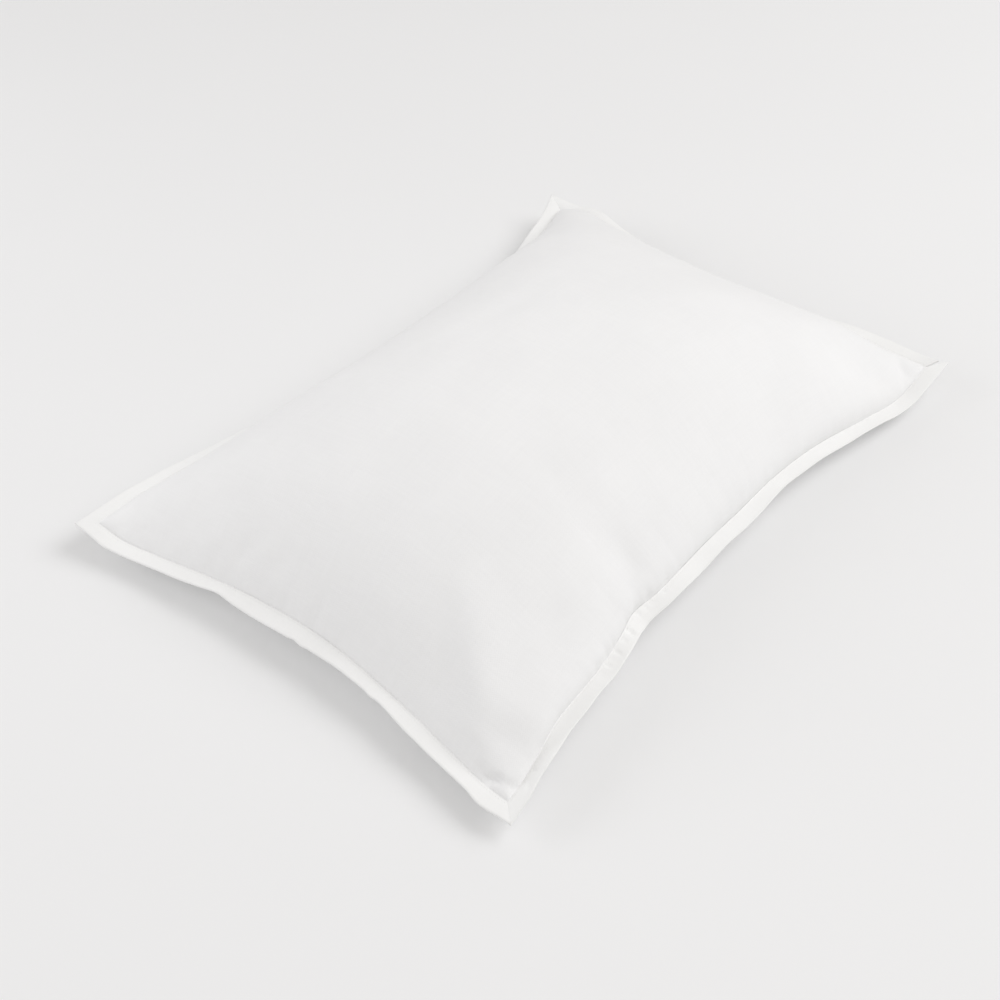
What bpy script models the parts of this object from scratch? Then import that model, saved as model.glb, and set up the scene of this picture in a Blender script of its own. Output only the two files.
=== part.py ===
"""A filled pillowcase with a narrow flange, lying on its back.

The cloth pocket is plump with its filling, so the case is one crowned solid. Its four
sides draw in between the corners, and its underside is flat where it rests. Round it
runs the flange: four folded strips of the same cloth, mitred at the corners.

Frame: metres. +X runs along the long sides, +Y along the short sides and +Z is up. The
origin is on the surface that the case lies on, in the middle of its footprint.
Seen from above, the sides are left (-X), front (-Y), right (+X) and back (+Y).
"""

import math
from collections import namedtuple

import bmesh
import bpy

# ---------------------------------------------------------------- driving dimensions

MM = 0.001

FLANGE_WIDTH = 15 * MM
FLANGE_THICKNESS = 2.2 * MM          # the strip is folded, so this is four layers of cloth
PIECE_GAP = 0.3 * MM                 # between the flange and the case
MITRE_GAP = 0.35 * MM                # taken off each end of a strip, along its side

CROWN_RISE = 112 * MM                # top of the case above its seam
CROWN_ROUNDNESS = (3.0, 2.6)         # along X, along Y: higher is flatter on top
CROWN_EDGE = 0.8                     # lower is steeper at the seam
UNDERSIDE_REACH = 0.42               # how far in the case meets the surface, 0 to 1

RIPPLE_PITCH = 78 * MM               # the flange's outer edge rises and falls
RIPPLE_RISE = 1.1 * MM
MITRE_REACH = 0.055                  # share of a side over which the strip turns to its tip

BODY_STEPS_LONG = 52
BODY_STEPS_SHORT = 38
BODY_EVEN_SHARE = 0.42               # 1 spaces the rows evenly, 0 crowds them at the seam
FLANGE_STEPS_LONG = 52
FLANGE_STEPS_SHORT = 38
FLANGE_STEPS_ACROSS = 2

# Corners in millimetres: where the seams meet, and the tips of the two strips there.
Corner = namedtuple("Corner", "seam short_side_tip long_side_tip")
FRONT_LEFT = Corner((-340.5, -237.5, 20), (-355.5, -252.5, 20), (-355.5, -252.5, 20))
FRONT_RIGHT = Corner((334.5, -236.5, 30), (347.0, -244.6, 35), (355.5, -252.5, 32))
BACK_RIGHT = Corner((336.5, 229.0, 28), (349.5, 252.5, 34), (349.5, 252.5, 34))
BACK_LEFT = Corner((-340.5, 237.5, 29), (-355.5, 252.5, 31), (-355.5, 252.5, 31))

# How each side lies between its corners. drawn_in and height are those of the seam in
# millimetres, and tilt is the flange's, in degrees: plus turns its outer edge up.
Station = namedtuple("Station", "share drawn_in height tilt")
LEFT_STATIONS = (
    Station(0.06, 2, 20, 10),
    Station(0.15, 9, 22, 5),
    Station(0.28, 18, 28, 0),
    Station(0.45, 25, 33, -5),
    Station(0.62, 23, 31, -5),
    Station(0.75, 17, 26, 3),
    Station(0.86, 10, 21, 0),
    Station(0.94, 3, 22, 0),
)
FRONT_STATIONS = (
    Station(0.04, 3, 23, 25),
    Station(0.065, 6, 26, 25),
    Station(0.09, 10, 28, 14),
    Station(0.12, 14, 30, 4),
    Station(0.19, 17, 33, 2),
    Station(0.24, 21, 34, 2),
    Station(0.275, 26, 35, -8),
    Station(0.31, 32, 35, -18),
    Station(0.36, 29, 36, -8),
    Station(0.46, 30, 37, -22),
    Station(0.55, 29, 37, -14),
    Station(0.65, 29, 35, -9),
    Station(0.75, 23, 30, -12),
    Station(0.85, 11, 22, 0),
    Station(0.93, 2, 19, -5),
)
RIGHT_STATIONS = (
    Station(0.10, 4, 33, 10),
    Station(0.20, 10, 40, -10),
    Station(0.35, 20, 40, -25),
    Station(0.50, 25, 38, -25),
    Station(0.65, 24, 38, -25),
    Station(0.80, 15, 41, -10),
    Station(0.90, 6, 42, 0),
)
BACK_STATIONS = (
    Station(0.07, 3, 31, 5),
    Station(0.15, 8, 31, -8),
    Station(0.25, 18, 32, -18),
    Station(0.38, 32, 31, -28),
    Station(0.55, 38, 29, -30),
    Station(0.72, 35, 28, -30),
    Station(0.84, 28, 28, -20),
    Station(0.93, 14, 28, 5),
)

# Soft folds in the upper face: ends as shares along X and Y, width and depth in
# millimetres. A fold with a minus depth is a ridge.
Fold = namedtuple("Fold", "from_x from_y to_x to_y half_width depth")
FOLDS = (
    Fold(0.27, 0.73, 0.65, 0.61, 16, 2.0),
    Fold(0.40, 0.65, 0.77, 0.64, 15, 1.8),
    Fold(0.02, 0.03, 0.17, 0.21, 26, -5.0),
    Fold(0.02, 0.16, 0.13, 0.30, 24, 3.5),
    Fold(0.12, 0.02, 0.24, 0.13, 24, 3.0),
    Fold(0.02, 0.97, 0.16, 0.80, 22, -3.0),
    Fold(0.02, 0.86, 0.13, 0.72, 18, 3.0),
    Fold(0.04, 0.58, 0.11, 0.56, 22, 2.6),
    Fold(0.86, 0.05, 0.78, 0.20, 22, 3.0),
    Fold(0.98, 0.14, 0.86, 0.24, 20, 2.6),
    Fold(0.31, 0.01, 0.36, 0.12, 16, 3.0),
    Fold(0.90, 0.96, 0.82, 0.84, 18, 3.2),
)

COTTON_WHITE = (0.86, 0.865, 0.87, 1.0)
COTTON_FLANGE_WHITE = (0.90, 0.905, 0.91, 1.0)
COTTON_ROUGHNESS = 0.85


# ---------------------------------------------------------------- points, lines and tables


def mix(start, end, share):
    """The point, or number, that lies a share of the way from start to end."""
    if isinstance(start, (tuple, list)):
        return tuple(mix(a, b, share) for a, b in zip(start, end))
    return start + (end - start) * share


def add(*points):
    """The sum of some points."""
    return tuple(sum(values) for values in zip(*points))


def scaled(point, factor):
    """A point or direction made longer by a factor."""
    return tuple(value * factor for value in point)


def in_metres(point):
    """A point given in millimetres, in metres."""
    return scaled(point, MM)


def smooth_read(stations, column, share):
    """Reads one column of a table on a smooth curve that passes through its rows."""
    shares = [station.share for station in stations]
    values = [getattr(station, column) for station in stations]
    last = len(shares) - 1
    step = next((i for i in range(last) if share <= shares[i + 1]), last - 1)

    def slope(i):
        low, high = max(i - 1, 0), min(i + 1, last)
        return (values[high] - values[low]) / (shares[high] - shares[low])

    width = shares[step + 1] - shares[step]
    t = (share - shares[step]) / width
    return (
        values[step] * (2 * t**3 - 3 * t**2 + 1)
        + values[step + 1] * (3 * t**2 - 2 * t**3)
        + slope(step) * width * (t**3 - 2 * t**2 + t)
        + slope(step + 1) * width * (t**3 - t**2)
    )


# ---------------------------------------------------------------- the four sides


class Side:
    """One side of the case: its seam, and the outer edge of the flange along it."""

    def __init__(self, name, start, end, outward, tips, stations):
        self.name = name
        self.seam_start = in_metres(start.seam)
        self.seam_end = in_metres(end.seam)
        self.tip_start = in_metres(getattr(start, tips))
        self.tip_end = in_metres(getattr(end, tips))
        self.outward = outward
        first = Station(0.0, 0, start.seam[2], 0)
        last = Station(1.0, 0, end.seam[2], 0)
        self.stations = (first, *stations, last)
        self.length = math.dist(self.seam_start, self.seam_end)

    def seam(self, share):
        """The seam: where the upper and lower cloth and the flange are sewn together."""
        drawn_in = smooth_read(self.stations, "drawn_in", share) * MM
        height = smooth_read(self.stations, "height", share) * MM
        x, y, _ = mix(self.seam_start, self.seam_end, share)
        return (x - self.outward[0] * drawn_in, y - self.outward[1] * drawn_in, height)

    def edge(self, share):
        """The flange's outer edge, which runs out to the tips at the two corners."""
        tilt = math.radians(smooth_read(self.stations, "tilt", share))
        ripple = math.sin(share * self.length / RIPPLE_PITCH * math.tau) * math.sin(math.pi * share)
        reach = scaled(self.outward, FLANGE_WIDTH * math.cos(tilt))
        rise = (0.0, 0.0, FLANGE_WIDTH * math.sin(tilt) + RIPPLE_RISE * ripple)
        plain = add(self.seam(share), reach, rise)
        square_start = add(self.seam_start, scaled(self.outward, FLANGE_WIDTH))
        square_end = add(self.seam_end, scaled(self.outward, FLANGE_WIDTH))
        near_start = max(0.0, 1.0 - share / MITRE_REACH) ** 2
        near_end = max(0.0, 1.0 - (1.0 - share) / MITRE_REACH) ** 2
        to_start = scaled(add(self.tip_start, scaled(square_start, -1.0)), near_start)
        to_end = scaled(add(self.tip_end, scaled(square_end, -1.0)), near_end)
        return add(plain, to_start, to_end)

    def along(self):
        """The direction from the side's first corner to its second."""
        difference = add(self.seam_end, scaled(self.seam_start, -1.0))
        return scaled(difference, 1.0 / self.length)


LEFT = Side("left", FRONT_LEFT, BACK_LEFT, (-1, 0, 0), "short_side_tip", LEFT_STATIONS)
RIGHT = Side("right", FRONT_RIGHT, BACK_RIGHT, (1, 0, 0), "short_side_tip", RIGHT_STATIONS)
FRONT = Side("front", FRONT_LEFT, FRONT_RIGHT, (0, -1, 0), "long_side_tip", FRONT_STATIONS)
BACK = Side("back", BACK_LEFT, BACK_RIGHT, (0, 1, 0), "long_side_tip", BACK_STATIONS)


# ---------------------------------------------------------------- the filled case


def sheet_point(x_share, y_share):
    """A point of the smooth sheet that the four seams span, before it is filled."""
    between_long = mix(FRONT.seam(x_share), BACK.seam(x_share), y_share)
    between_short = mix(LEFT.seam(y_share), RIGHT.seam(y_share), x_share)
    front = mix(LEFT.seam_start, RIGHT.seam_start, x_share)
    back = mix(LEFT.seam_end, RIGHT.seam_end, x_share)
    corners = mix(front, back, y_share)
    return add(between_long, between_short, scaled(corners, -1.0))


def fullness(x_share, y_share):
    """How far the filling lifts the cloth here: 0 at the seam, 1 at the crest."""
    from_middle_x = abs(2.0 * x_share - 1.0)
    from_middle_y = abs(2.0 * y_share - 1.0)
    lift_x = max(0.0, 1.0 - from_middle_x ** CROWN_ROUNDNESS[0])
    lift_y = max(0.0, 1.0 - from_middle_y ** CROWN_ROUNDNESS[1])
    return (lift_x * lift_y) ** CROWN_EDGE


def fold_depth(fold, point):
    """How deep one fold sinks the cloth at a point, deepest along the fold's middle."""
    start = sheet_point(fold.from_x, fold.from_y)
    end = sheet_point(fold.to_x, fold.to_y)
    run = (end[0] - start[0], end[1] - start[1])
    offset = (point[0] - start[0], point[1] - start[1])
    length = math.hypot(*run)
    along = (offset[0] * run[0] + offset[1] * run[1]) / length**2
    across = (offset[0] * run[1] - offset[1] * run[0]) / length
    if not 0.0 < along < 1.0:
        return 0.0
    taper = math.sin(math.pi * along) ** 1.5
    return fold.depth * MM * taper * math.exp(-((across / (fold.half_width * MM)) ** 2))


def upper_point(x_share, y_share):
    """A point of the upper face: the seam's own height, the crown and the folds."""
    x, y, seam_height = sheet_point(x_share, y_share)
    lift = fullness(x_share, y_share)
    folds = sum(fold_depth(fold, (x, y)) for fold in FOLDS)
    settled = min(1.0, 4.0 * lift)          # folds fade out before they reach the seam
    return (x, y, seam_height + FLANGE_THICKNESS / 2 + CROWN_RISE * lift - folds * settled)


def lower_point(x_share, y_share):
    """A point of the underside, which curves down from the seam and then lies flat."""
    x, y, seam_height = sheet_point(x_share, y_share)
    inward = min(1.0, fullness(x_share, y_share) / UNDERSIDE_REACH)
    above = (1.0 - inward**0.7) ** 1.5
    return (x, y, max(0.0, (seam_height - FLANGE_THICKNESS / 2) * above))


def crowded(position):
    """Turns a grid position, -1 to 1, into a share, 0 to 1, with more rows at the seams."""
    curved = math.sin(position * math.pi / 2)
    return 0.5 + 0.5 * mix(curved, position, BODY_EVEN_SHARE)


# ---------------------------------------------------------------- making the solids


def cotton(name, colour):
    """A matt cotton material."""
    material = bpy.data.materials.new(name)
    material.use_nodes = True
    shader = material.node_tree.nodes["Principled BSDF"]
    shader.inputs["Base Color"].default_value = colour
    shader.inputs["Roughness"].default_value = COTTON_ROUGHNESS
    shader.inputs["Metallic"].default_value = 0.0
    return material


def layered_grid(x_steps, y_steps):
    """A flat grid from -1 to 1 and a copy above it, closed round the edge.

    Its vertices have z = 0 below and z = 1 above.
    """
    shape = bmesh.new()
    bmesh.ops.create_grid(shape, x_segments=x_steps, y_segments=y_steps, size=1.0)
    raised = bmesh.ops.extrude_face_region(shape, geom=shape.faces[:])
    raised_vertices = [item for item in raised["geom"] if isinstance(item, bmesh.types.BMVert)]
    bmesh.ops.translate(shape, vec=(0.0, 0.0, 1.0), verts=raised_vertices)
    return shape


def finished_object(name, shape, material):
    """Makes an object of a finished shape, smooth-shaded, with its faces pointing out."""
    bmesh.ops.recalc_face_normals(shape, faces=shape.faces[:])
    if shape.calc_volume(signed=True) < 0.0:
        bmesh.ops.reverse_faces(shape, faces=shape.faces[:])
    mesh = bpy.data.meshes.new(name)
    shape.to_mesh(mesh)
    shape.free()
    mesh.shade_smooth()
    mesh.set_sharp_from_angle(angle=math.radians(60))
    mesh.materials.append(material)
    made = bpy.data.objects.new(name, mesh)
    bpy.context.scene.collection.objects.link(made)
    return made


def build_case(material):
    """The filled pocket: both panels over the filling, as one solid."""
    shape = layered_grid(BODY_STEPS_LONG, BODY_STEPS_SHORT)
    for vertex in shape.verts:
        x_share = crowded(vertex.co.x)
        y_share = crowded(vertex.co.y)
        place = upper_point if vertex.co.z > 0.5 else lower_point
        vertex.co = place(x_share, y_share)
    return finished_object("case_body", shape, material)


def build_flange(side, steps, material):
    """One folded strip of the flange, a little clear of the case and of its neighbours."""
    shape = layered_grid(steps, FLANGE_STEPS_ACROSS)
    for vertex in shape.verts:
        share = crowded(vertex.co.x)        # as the case's rows, so both follow the seam alike
        outward_share = (vertex.co.y + 1.0) / 2
        inner = add(side.seam(share), scaled(side.outward, PIECE_GAP))
        place = mix(inner, side.edge(share), outward_share)
        trim = scaled(side.along(), MITRE_GAP * (1.0 - 2.0 * share))
        layer = (0.0, 0.0, FLANGE_THICKNESS * (vertex.co.z - 0.5))
        vertex.co = add(place, trim, layer)
    return finished_object(f"flange_{side.name}", shape, material)


def main():
    for old in list(bpy.data.objects):
        bpy.data.objects.remove(old)
    case_cotton = cotton("white_cotton", COTTON_WHITE)
    flange_cotton = cotton("white_cotton_flange", COTTON_FLANGE_WHITE)
    build_case(case_cotton)
    for side in (LEFT, RIGHT):
        build_flange(side, FLANGE_STEPS_SHORT, flange_cotton)
    for side in (FRONT, BACK):
        build_flange(side, FLANGE_STEPS_LONG, flange_cotton)


main()
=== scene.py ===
# %% [markdown]
# # A plump pillowcase with a narrow flange
#
# The object is a plain white cotton pillowcase that lies on its back with its pillow
# inside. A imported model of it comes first: five solids at their real size and place.
# This lesson dresses them. The filled pocket is made again as fine cloth that is
# settled by a cloth simulation, the flange is made again as four folded strips, and
# the stitching, which the solids leave out, is sewn along the seam.

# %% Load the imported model, which is the fixed frame for everything below
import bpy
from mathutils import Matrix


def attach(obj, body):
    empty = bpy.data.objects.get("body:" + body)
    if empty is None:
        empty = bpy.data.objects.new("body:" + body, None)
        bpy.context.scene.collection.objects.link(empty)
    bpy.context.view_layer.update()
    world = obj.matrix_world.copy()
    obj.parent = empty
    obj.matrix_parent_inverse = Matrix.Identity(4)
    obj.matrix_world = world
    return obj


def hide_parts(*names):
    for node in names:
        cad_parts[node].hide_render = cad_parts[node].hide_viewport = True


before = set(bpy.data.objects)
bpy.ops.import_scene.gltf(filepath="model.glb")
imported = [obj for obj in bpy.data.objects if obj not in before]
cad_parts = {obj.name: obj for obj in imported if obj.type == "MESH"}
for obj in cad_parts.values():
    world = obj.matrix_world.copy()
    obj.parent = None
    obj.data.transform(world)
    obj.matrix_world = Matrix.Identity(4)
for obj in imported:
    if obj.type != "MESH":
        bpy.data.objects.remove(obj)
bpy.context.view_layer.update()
print("nodes:", sorted(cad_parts))

# %% Modules and units
import math
from collections import namedtuple

import bpy
import numpy as np
from mathutils import Vector, noise

MM = 0.001

# %% [markdown]
# ## The camera
#
# The photograph looks down at one short side and one long side. The camera's place and
# turn were found by matching the four corners of the flange to a rectangle of its real
# size. The focal length is first in pixels of a picture 1000 pixels wide, and Blender
# wants it in millimetres on its 36 mm sensor.

# %% Camera
IMAGE_SIDE = 1000
FOCAL_PIXELS = 1540
SENSOR_SIDE = 36
CAMERA_PLACE = (-0.8914, -0.6762, 0.9963)
CAMERA_TURN = math.radians(-50.99)  # round the object, from the front towards the left
CAMERA_LIFT = math.radians(43.08)  # above the horizontal

bpy.ops.object.camera_add(
    location=CAMERA_PLACE, rotation=(math.pi / 2 - CAMERA_LIFT, 0, CAMERA_TURN)
)
camera = bpy.context.object
camera.name = "photo_camera"
camera.data.sensor_width = SENSOR_SIDE
camera.data.lens = FOCAL_PIXELS / IMAGE_SIDE * SENSOR_SIDE
bpy.context.scene.camera = camera
print("lens:", round(camera.data.lens, 2), "mm")

# %% [markdown]
# ## Small helpers for colour and nodes
#
# A colour is written as the hex value that a painter would pick on a screen, and the
# renderer wants linear light, so one function turns the one into the other. Another
# adds one node to a material with its settings and links, and a third starts a material.

# %% Helpers for materials


def hex_colour(text):
    """The linear RGBA of an sRGB colour such as "#f4f4f2"."""
    channels = [int(text[i : i + 2], 16) / 255 for i in (1, 3, 5)]
    linear = [c / 12.92 if c <= 0.04045 else ((c + 0.055) / 1.055) ** 2.4 for c in channels]
    return (*linear, 1.0)


def add_node(tree, kind, settings=None, links=None):
    """Adds a node. Settings set its properties or sockets, and links feed its sockets.

    A socket is given by its name, or by its number where two sockets share a name.
    """
    node = tree.nodes.new(kind)
    for name, value in (settings or {}).items():
        if isinstance(name, int) or name in node.inputs:
            node.inputs[name].default_value = value
        else:
            setattr(node, name, value)
    for name, source in (links or {}).items():
        tree.links.new(source, node.inputs[name])
    return node


def new_material(name):
    """A new material, its node tree and its main shader."""
    material = bpy.data.materials.new(name)
    material.use_nodes = True
    tree = material.node_tree
    shader = tree.nodes["Principled BSDF"]
    return material, tree, shader


print("cotton white is", [round(c, 3) for c in hex_colour("#f4f4f4")])

# %% [markdown]
# ## The room: a glowing floor and soft light
#
# This is a high-key studio shot, and even close under the flange the shadow stays pale.
# A floor of white paper left that shadow clearly darker. So the floor, a matt acrylic
# sheet, is given a faint even glow: painted light that pales the shadows on it and lights
# the case a little from below. It is nearly even, with a slight cloudiness and a fine
# tooth. A plain colour would look like a void, and a picture of it would repeat, so two
# noises at real sizes do both.

# %% Floor
FLOOR_SIDE = 14.0
SHEET_CLOUD = 350 * MM
SHEET_TOOTH = 2.5 * MM
# painted glow: the floor's faint even emission, which pales the shadows that fall on it
PAINTED_FLOOR_GLOW = 0.086
MIX_A, MIX_B, MIX_RESULT = 6, 7, 2  # the colour sockets of Blender's Mix node

bpy.ops.object.select_all(action="DESELECT")
bpy.ops.mesh.primitive_plane_add(size=FLOOR_SIDE, location=(0, 0, 0))
floor = bpy.context.object
floor.name = "studio_floor"
# Matt white acrylic: a soft, even, very pale grey ground, with a faint painted glow that pales the
# shadows on it.
acrylic, acrylic_tree, acrylic_shader = new_material("matt white acrylic, painted glow")
acrylic_place = add_node(acrylic_tree, "ShaderNodeTexCoord").outputs["Object"]
acrylic_cloud, acrylic_tooth = [
    add_node(
        acrylic_tree,
        "ShaderNodeTexNoise",
        {"Scale": 1 / size, "Detail": detail},
        {"Vector": acrylic_place},
    ).outputs["Fac"]
    for size, detail in ((SHEET_CLOUD, 3.0), (SHEET_TOOTH, 4.0))
]
acrylic_colour = add_node(
    acrylic_tree,
    "ShaderNodeMix",
    {"data_type": "RGBA", MIX_A: hex_colour("#e3e3e3"), MIX_B: hex_colour("#e5e5e5")},
    {"Factor": acrylic_cloud},
)
acrylic_bump = add_node(
    acrylic_tree,
    "ShaderNodeBump",
    {"Strength": 0.5, "Distance": 0.05 * MM},
    {"Height": acrylic_tooth},
)
acrylic_tree.links.new(acrylic_colour.outputs[MIX_RESULT], acrylic_shader.inputs["Base Color"])
acrylic_tree.links.new(acrylic_bump.outputs["Normal"], acrylic_shader.inputs["Normal"])
acrylic_shader.inputs["Roughness"].default_value = 0.9
acrylic_shader.inputs["Specular IOR Level"].default_value = 0.1
acrylic_shader.inputs["Emission Color"].default_value = hex_colour("#ffffff")
acrylic_shader.inputs["Emission Strength"].default_value = PAINTED_FLOOR_GLOW
acrylic.cycles.emission_sampling = "NONE"  # the glow is wide and even, so chance rays find it
floor.data.materials.append(acrylic)
print("floor:", FLOOR_SIDE, "m square")

# %% [markdown]
# ## Soft boxes
#
# The brightest box stands to the right of the picture, so the slopes that face left
# are the darkest and the faint shadow falls to the lower left. A weak box stands low on
# the left, where its light reaches under the flange, another stands beside the camera,
# and the white walls of the room do the rest. To find the strengths, each light was
# rendered alone, and then they were weighed until the floor, the slopes and the shadows
# had the photograph's tones.

# %% Light
WALL_GLOW = 0.548
Lamp = namedtuple("Lamp", "name place side power colour")
LAMPS = (
    Lamp("soft box to the right", (1.8, -1.9, 3.0), 2.6, 73, "#fefeff"),
    Lamp("low soft box to the left", (-1.4, 1.7, 0.9), 1.4, 14, "#fafbff"),
    Lamp("soft box by the camera", (-1.4, -1.1, 2.4), 1.8, 5, "#fffefd"),
)

scene = bpy.context.scene
scene.view_settings.view_transform = "Standard"
world = bpy.data.worlds.new("white studio walls")
scene.world = world
world.use_nodes = True
walls = world.node_tree.nodes["Background"]
walls.inputs["Color"].default_value = hex_colour("#fffdfb")
walls.inputs["Strength"].default_value = WALL_GLOW

for lamp in LAMPS:
    bpy.ops.object.light_add(type="AREA", location=lamp.place)
    light = bpy.context.object
    light.name = lamp.name
    light.data.shape = "SQUARE"
    light.data.size = lamp.side
    light.data.energy = lamp.power
    light.data.color = hex_colour(lamp.colour)[:3]
    to_object = -Vector(lamp.place)
    light.rotation_euler = to_object.to_track_quat("-Z", "Y").to_euler()
print("lights:", [lamp.name for lamp in LAMPS])

# %% [markdown]
# ## Where the seam runs
#
# The filling pulls the sides of the pocket inwards between its corners, and lifts the
# seam off the surface. So the seam is four gentle curves. Each side is a short table:
# how far along it a row lies, how far in the seam is drawn there, how high it is, and
# how the flange tilts. A smooth curve is read through the rows. These are the sizes of
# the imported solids, so the cloth lies where they do.

# %% Sizes of the case, and its four corners
FLANGE_WIDTH = 15 * MM
FLANGE_THICKNESS = 2.2 * MM
PIECE_GAP = 0.05 * MM
MITRE_GAP = 0.04 * MM
MITRE_REACH = 0.055  # share of a side over which a strip turns to its tip
RIPPLE_PITCH = 78 * MM
RIPPLE_RISE = 1.1 * MM

# A corner of the seam, and the tips of the two strips that meet there, all in mm.
Corner = namedtuple("Corner", "seam short_side_tip long_side_tip")
FRONT_LEFT = Corner((-340.5, -237.5, 20), (-355.5, -252.5, 20), (-355.5, -252.5, 20))
FRONT_RIGHT = Corner((334.5, -236.5, 30), (347.0, -244.6, 35), (355.5, -252.5, 32))
BACK_RIGHT = Corner((336.5, 229.0, 28), (349.5, 252.5, 34), (349.5, 252.5, 34))
BACK_LEFT = Corner((-340.5, 237.5, 29), (-355.5, 252.5, 31), (-355.5, 252.5, 31))
print("flange:", round(FLANGE_WIDTH / MM, 1), "mm wide")

# %% How each side lies: share along it, drawn in (mm), height (mm), tilt (degrees)
Station = namedtuple("Station", "share drawn_in height tilt")
LEFT_ROWS = (
    (0.06, 2, 20, 10),
    (0.15, 9, 22, 5),
    (0.28, 18, 28, 0),
    (0.45, 25, 33, -5),
    (0.62, 23, 31, -5),
    (0.75, 17, 26, 3),
    (0.86, 10, 21, 0),
    (0.94, 3, 22, 0),
)
FRONT_ROWS = (
    (0.04, 3, 23, 25),
    (0.065, 6, 26, 25),
    (0.09, 10, 28, 14),
    (0.12, 14, 30, 4),
    (0.19, 17, 33, 2),
    (0.24, 21, 34, 2),
    (0.275, 26, 35, -8),
    (0.31, 32, 35, -18),
    (0.36, 29, 36, -8),
    (0.46, 30, 37, -22),
    (0.55, 29, 37, -14),
    (0.65, 29, 35, -9),
    (0.75, 23, 30, -12),
    (0.85, 11, 22, 0),
    (0.93, 2, 19, -5),
)
RIGHT_ROWS = (
    (0.10, 4, 33, 10),
    (0.20, 10, 40, -10),
    (0.35, 20, 40, -25),
    (0.50, 25, 38, -25),
    (0.65, 24, 38, -25),
    (0.80, 15, 41, -10),
    (0.90, 6, 42, 0),
)
BACK_ROWS = (
    (0.07, 3, 31, 5),
    (0.15, 8, 31, -8),
    (0.25, 18, 32, -18),
    (0.38, 32, 31, -28),
    (0.55, 38, 29, -30),
    (0.72, 35, 28, -30),
    (0.84, 28, 28, -20),
    (0.93, 14, 28, 5),
)
print("rows:", [len(rows) for rows in (LEFT_ROWS, FRONT_ROWS, RIGHT_ROWS, BACK_ROWS)])

# %% [markdown]
# ## Reading a side
#
# A tailor would join such points with a bent ruler. Here a cubic curve goes through the
# rows of a table and turns smoothly at each of them. One class then gives the seam of a
# side, and the outer edge of its flange, at any share of its length. The edge ripples
# a little, and near a corner it runs out to the strip's tip.

# %% Curves through the tables


def smooth_read(stations, column, shares):
    """Reads one column of a table, at an array of shares, on a smooth curve through its rows."""
    at = np.array([station.share for station in stations])
    values = np.array([getattr(station, column) for station in stations], float)
    slopes = np.gradient(values, at)
    slopes[1:-1] = (values[2:] - values[:-2]) / (at[2:] - at[:-2])
    step = np.clip(np.searchsorted(at, shares) - 1, 0, len(at) - 2)
    width = at[step + 1] - at[step]
    t = (shares - at[step]) / width
    return (
        values[step] * (2 * t**3 - 3 * t**2 + 1)
        + values[step + 1] * (3 * t**2 - 2 * t**3)
        + slopes[step] * width * (t**3 - 2 * t**2 + t)
        + slopes[step + 1] * width * (t**3 - t**2)
    )


class Side:
    """One side of the case: its seam, and the flange's outer edge along it, in metres."""

    def __init__(self, name, start, end, outward, tips, rows):
        self.name = name
        self.seam_start = np.array(start.seam) * MM
        self.seam_end = np.array(end.seam) * MM
        self.tip_start = np.array(getattr(start, tips)) * MM
        self.tip_end = np.array(getattr(end, tips)) * MM
        self.outward = np.array(outward, float)
        first = (0.0, 0, start.seam[2], 0)
        last = (1.0, 0, end.seam[2], 0)
        self.stations = [Station(*row) for row in (first, *rows, last)]
        self.length = float(np.linalg.norm(self.seam_end - self.seam_start))

    def seam(self, shares):
        """Points of the seam, where both panels and the flange are sewn together."""
        shares = np.asarray(shares, float)
        drawn_in = smooth_read(self.stations, "drawn_in", shares) * MM
        points = self.seam_start + shares[..., None] * (self.seam_end - self.seam_start)
        points = points - drawn_in[..., None] * self.outward
        points[..., 2] = smooth_read(self.stations, "height", shares) * MM
        return points

    def edge(self, shares):
        """Points of the flange's outer edge, which runs out to the tips at the corners."""
        shares = np.asarray(shares, float)
        tilt = np.radians(smooth_read(self.stations, "tilt", shares))
        ripple = np.sin(shares * self.length / RIPPLE_PITCH * math.tau) * np.sin(math.pi * shares)
        points = self.seam(shares) + FLANGE_WIDTH * np.cos(tilt)[..., None] * self.outward
        points[..., 2] += FLANGE_WIDTH * np.sin(tilt) + RIPPLE_RISE * ripple
        near_start = np.maximum(0, 1 - shares / MITRE_REACH)[..., None] ** 2
        near_end = np.maximum(0, 1 - (1 - shares) / MITRE_REACH)[..., None] ** 2
        square = FLANGE_WIDTH * self.outward
        points += near_start * (self.tip_start - self.seam_start - square)
        points += near_end * (self.tip_end - self.seam_end - square)
        return points

    def along(self):
        """The direction from the side's first corner to its second."""
        return (self.seam_end - self.seam_start) / self.length


LEFT = Side("left", FRONT_LEFT, BACK_LEFT, (-1, 0, 0), "short_side_tip", LEFT_ROWS)
RIGHT = Side("right", FRONT_RIGHT, BACK_RIGHT, (1, 0, 0), "short_side_tip", RIGHT_ROWS)
FRONT = Side("front", FRONT_LEFT, FRONT_RIGHT, (0, -1, 0), "long_side_tip", FRONT_ROWS)
BACK = Side("back", BACK_LEFT, BACK_RIGHT, (0, 1, 0), "long_side_tip", BACK_ROWS)
SIDES = (LEFT, RIGHT, FRONT, BACK)
print("sides:", {side.name: round(side.length, 3) for side in SIDES})

# %% [markdown]
# ## The cut size of the pocket
#
# Flat and empty, the pocket measures 700 by 500 mm inside its seam. It is made here as
# its maker would: two rectangles of that size, laid on each other and joined round
# the edge. A grid gives the cloth enough points to wrinkle, one each 6 mm. Each point
# also keeps its place on the flat panels, because the weave and the gathers need it.

# %% The flat pocket
PANEL_LONG = 700 * MM
PANEL_SHORT = 500 * MM
CLOTH_CELL = 6 * MM
SEAM_THICKNESS = 1.6 * MM  # both panels, pressed together by the stitches

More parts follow.
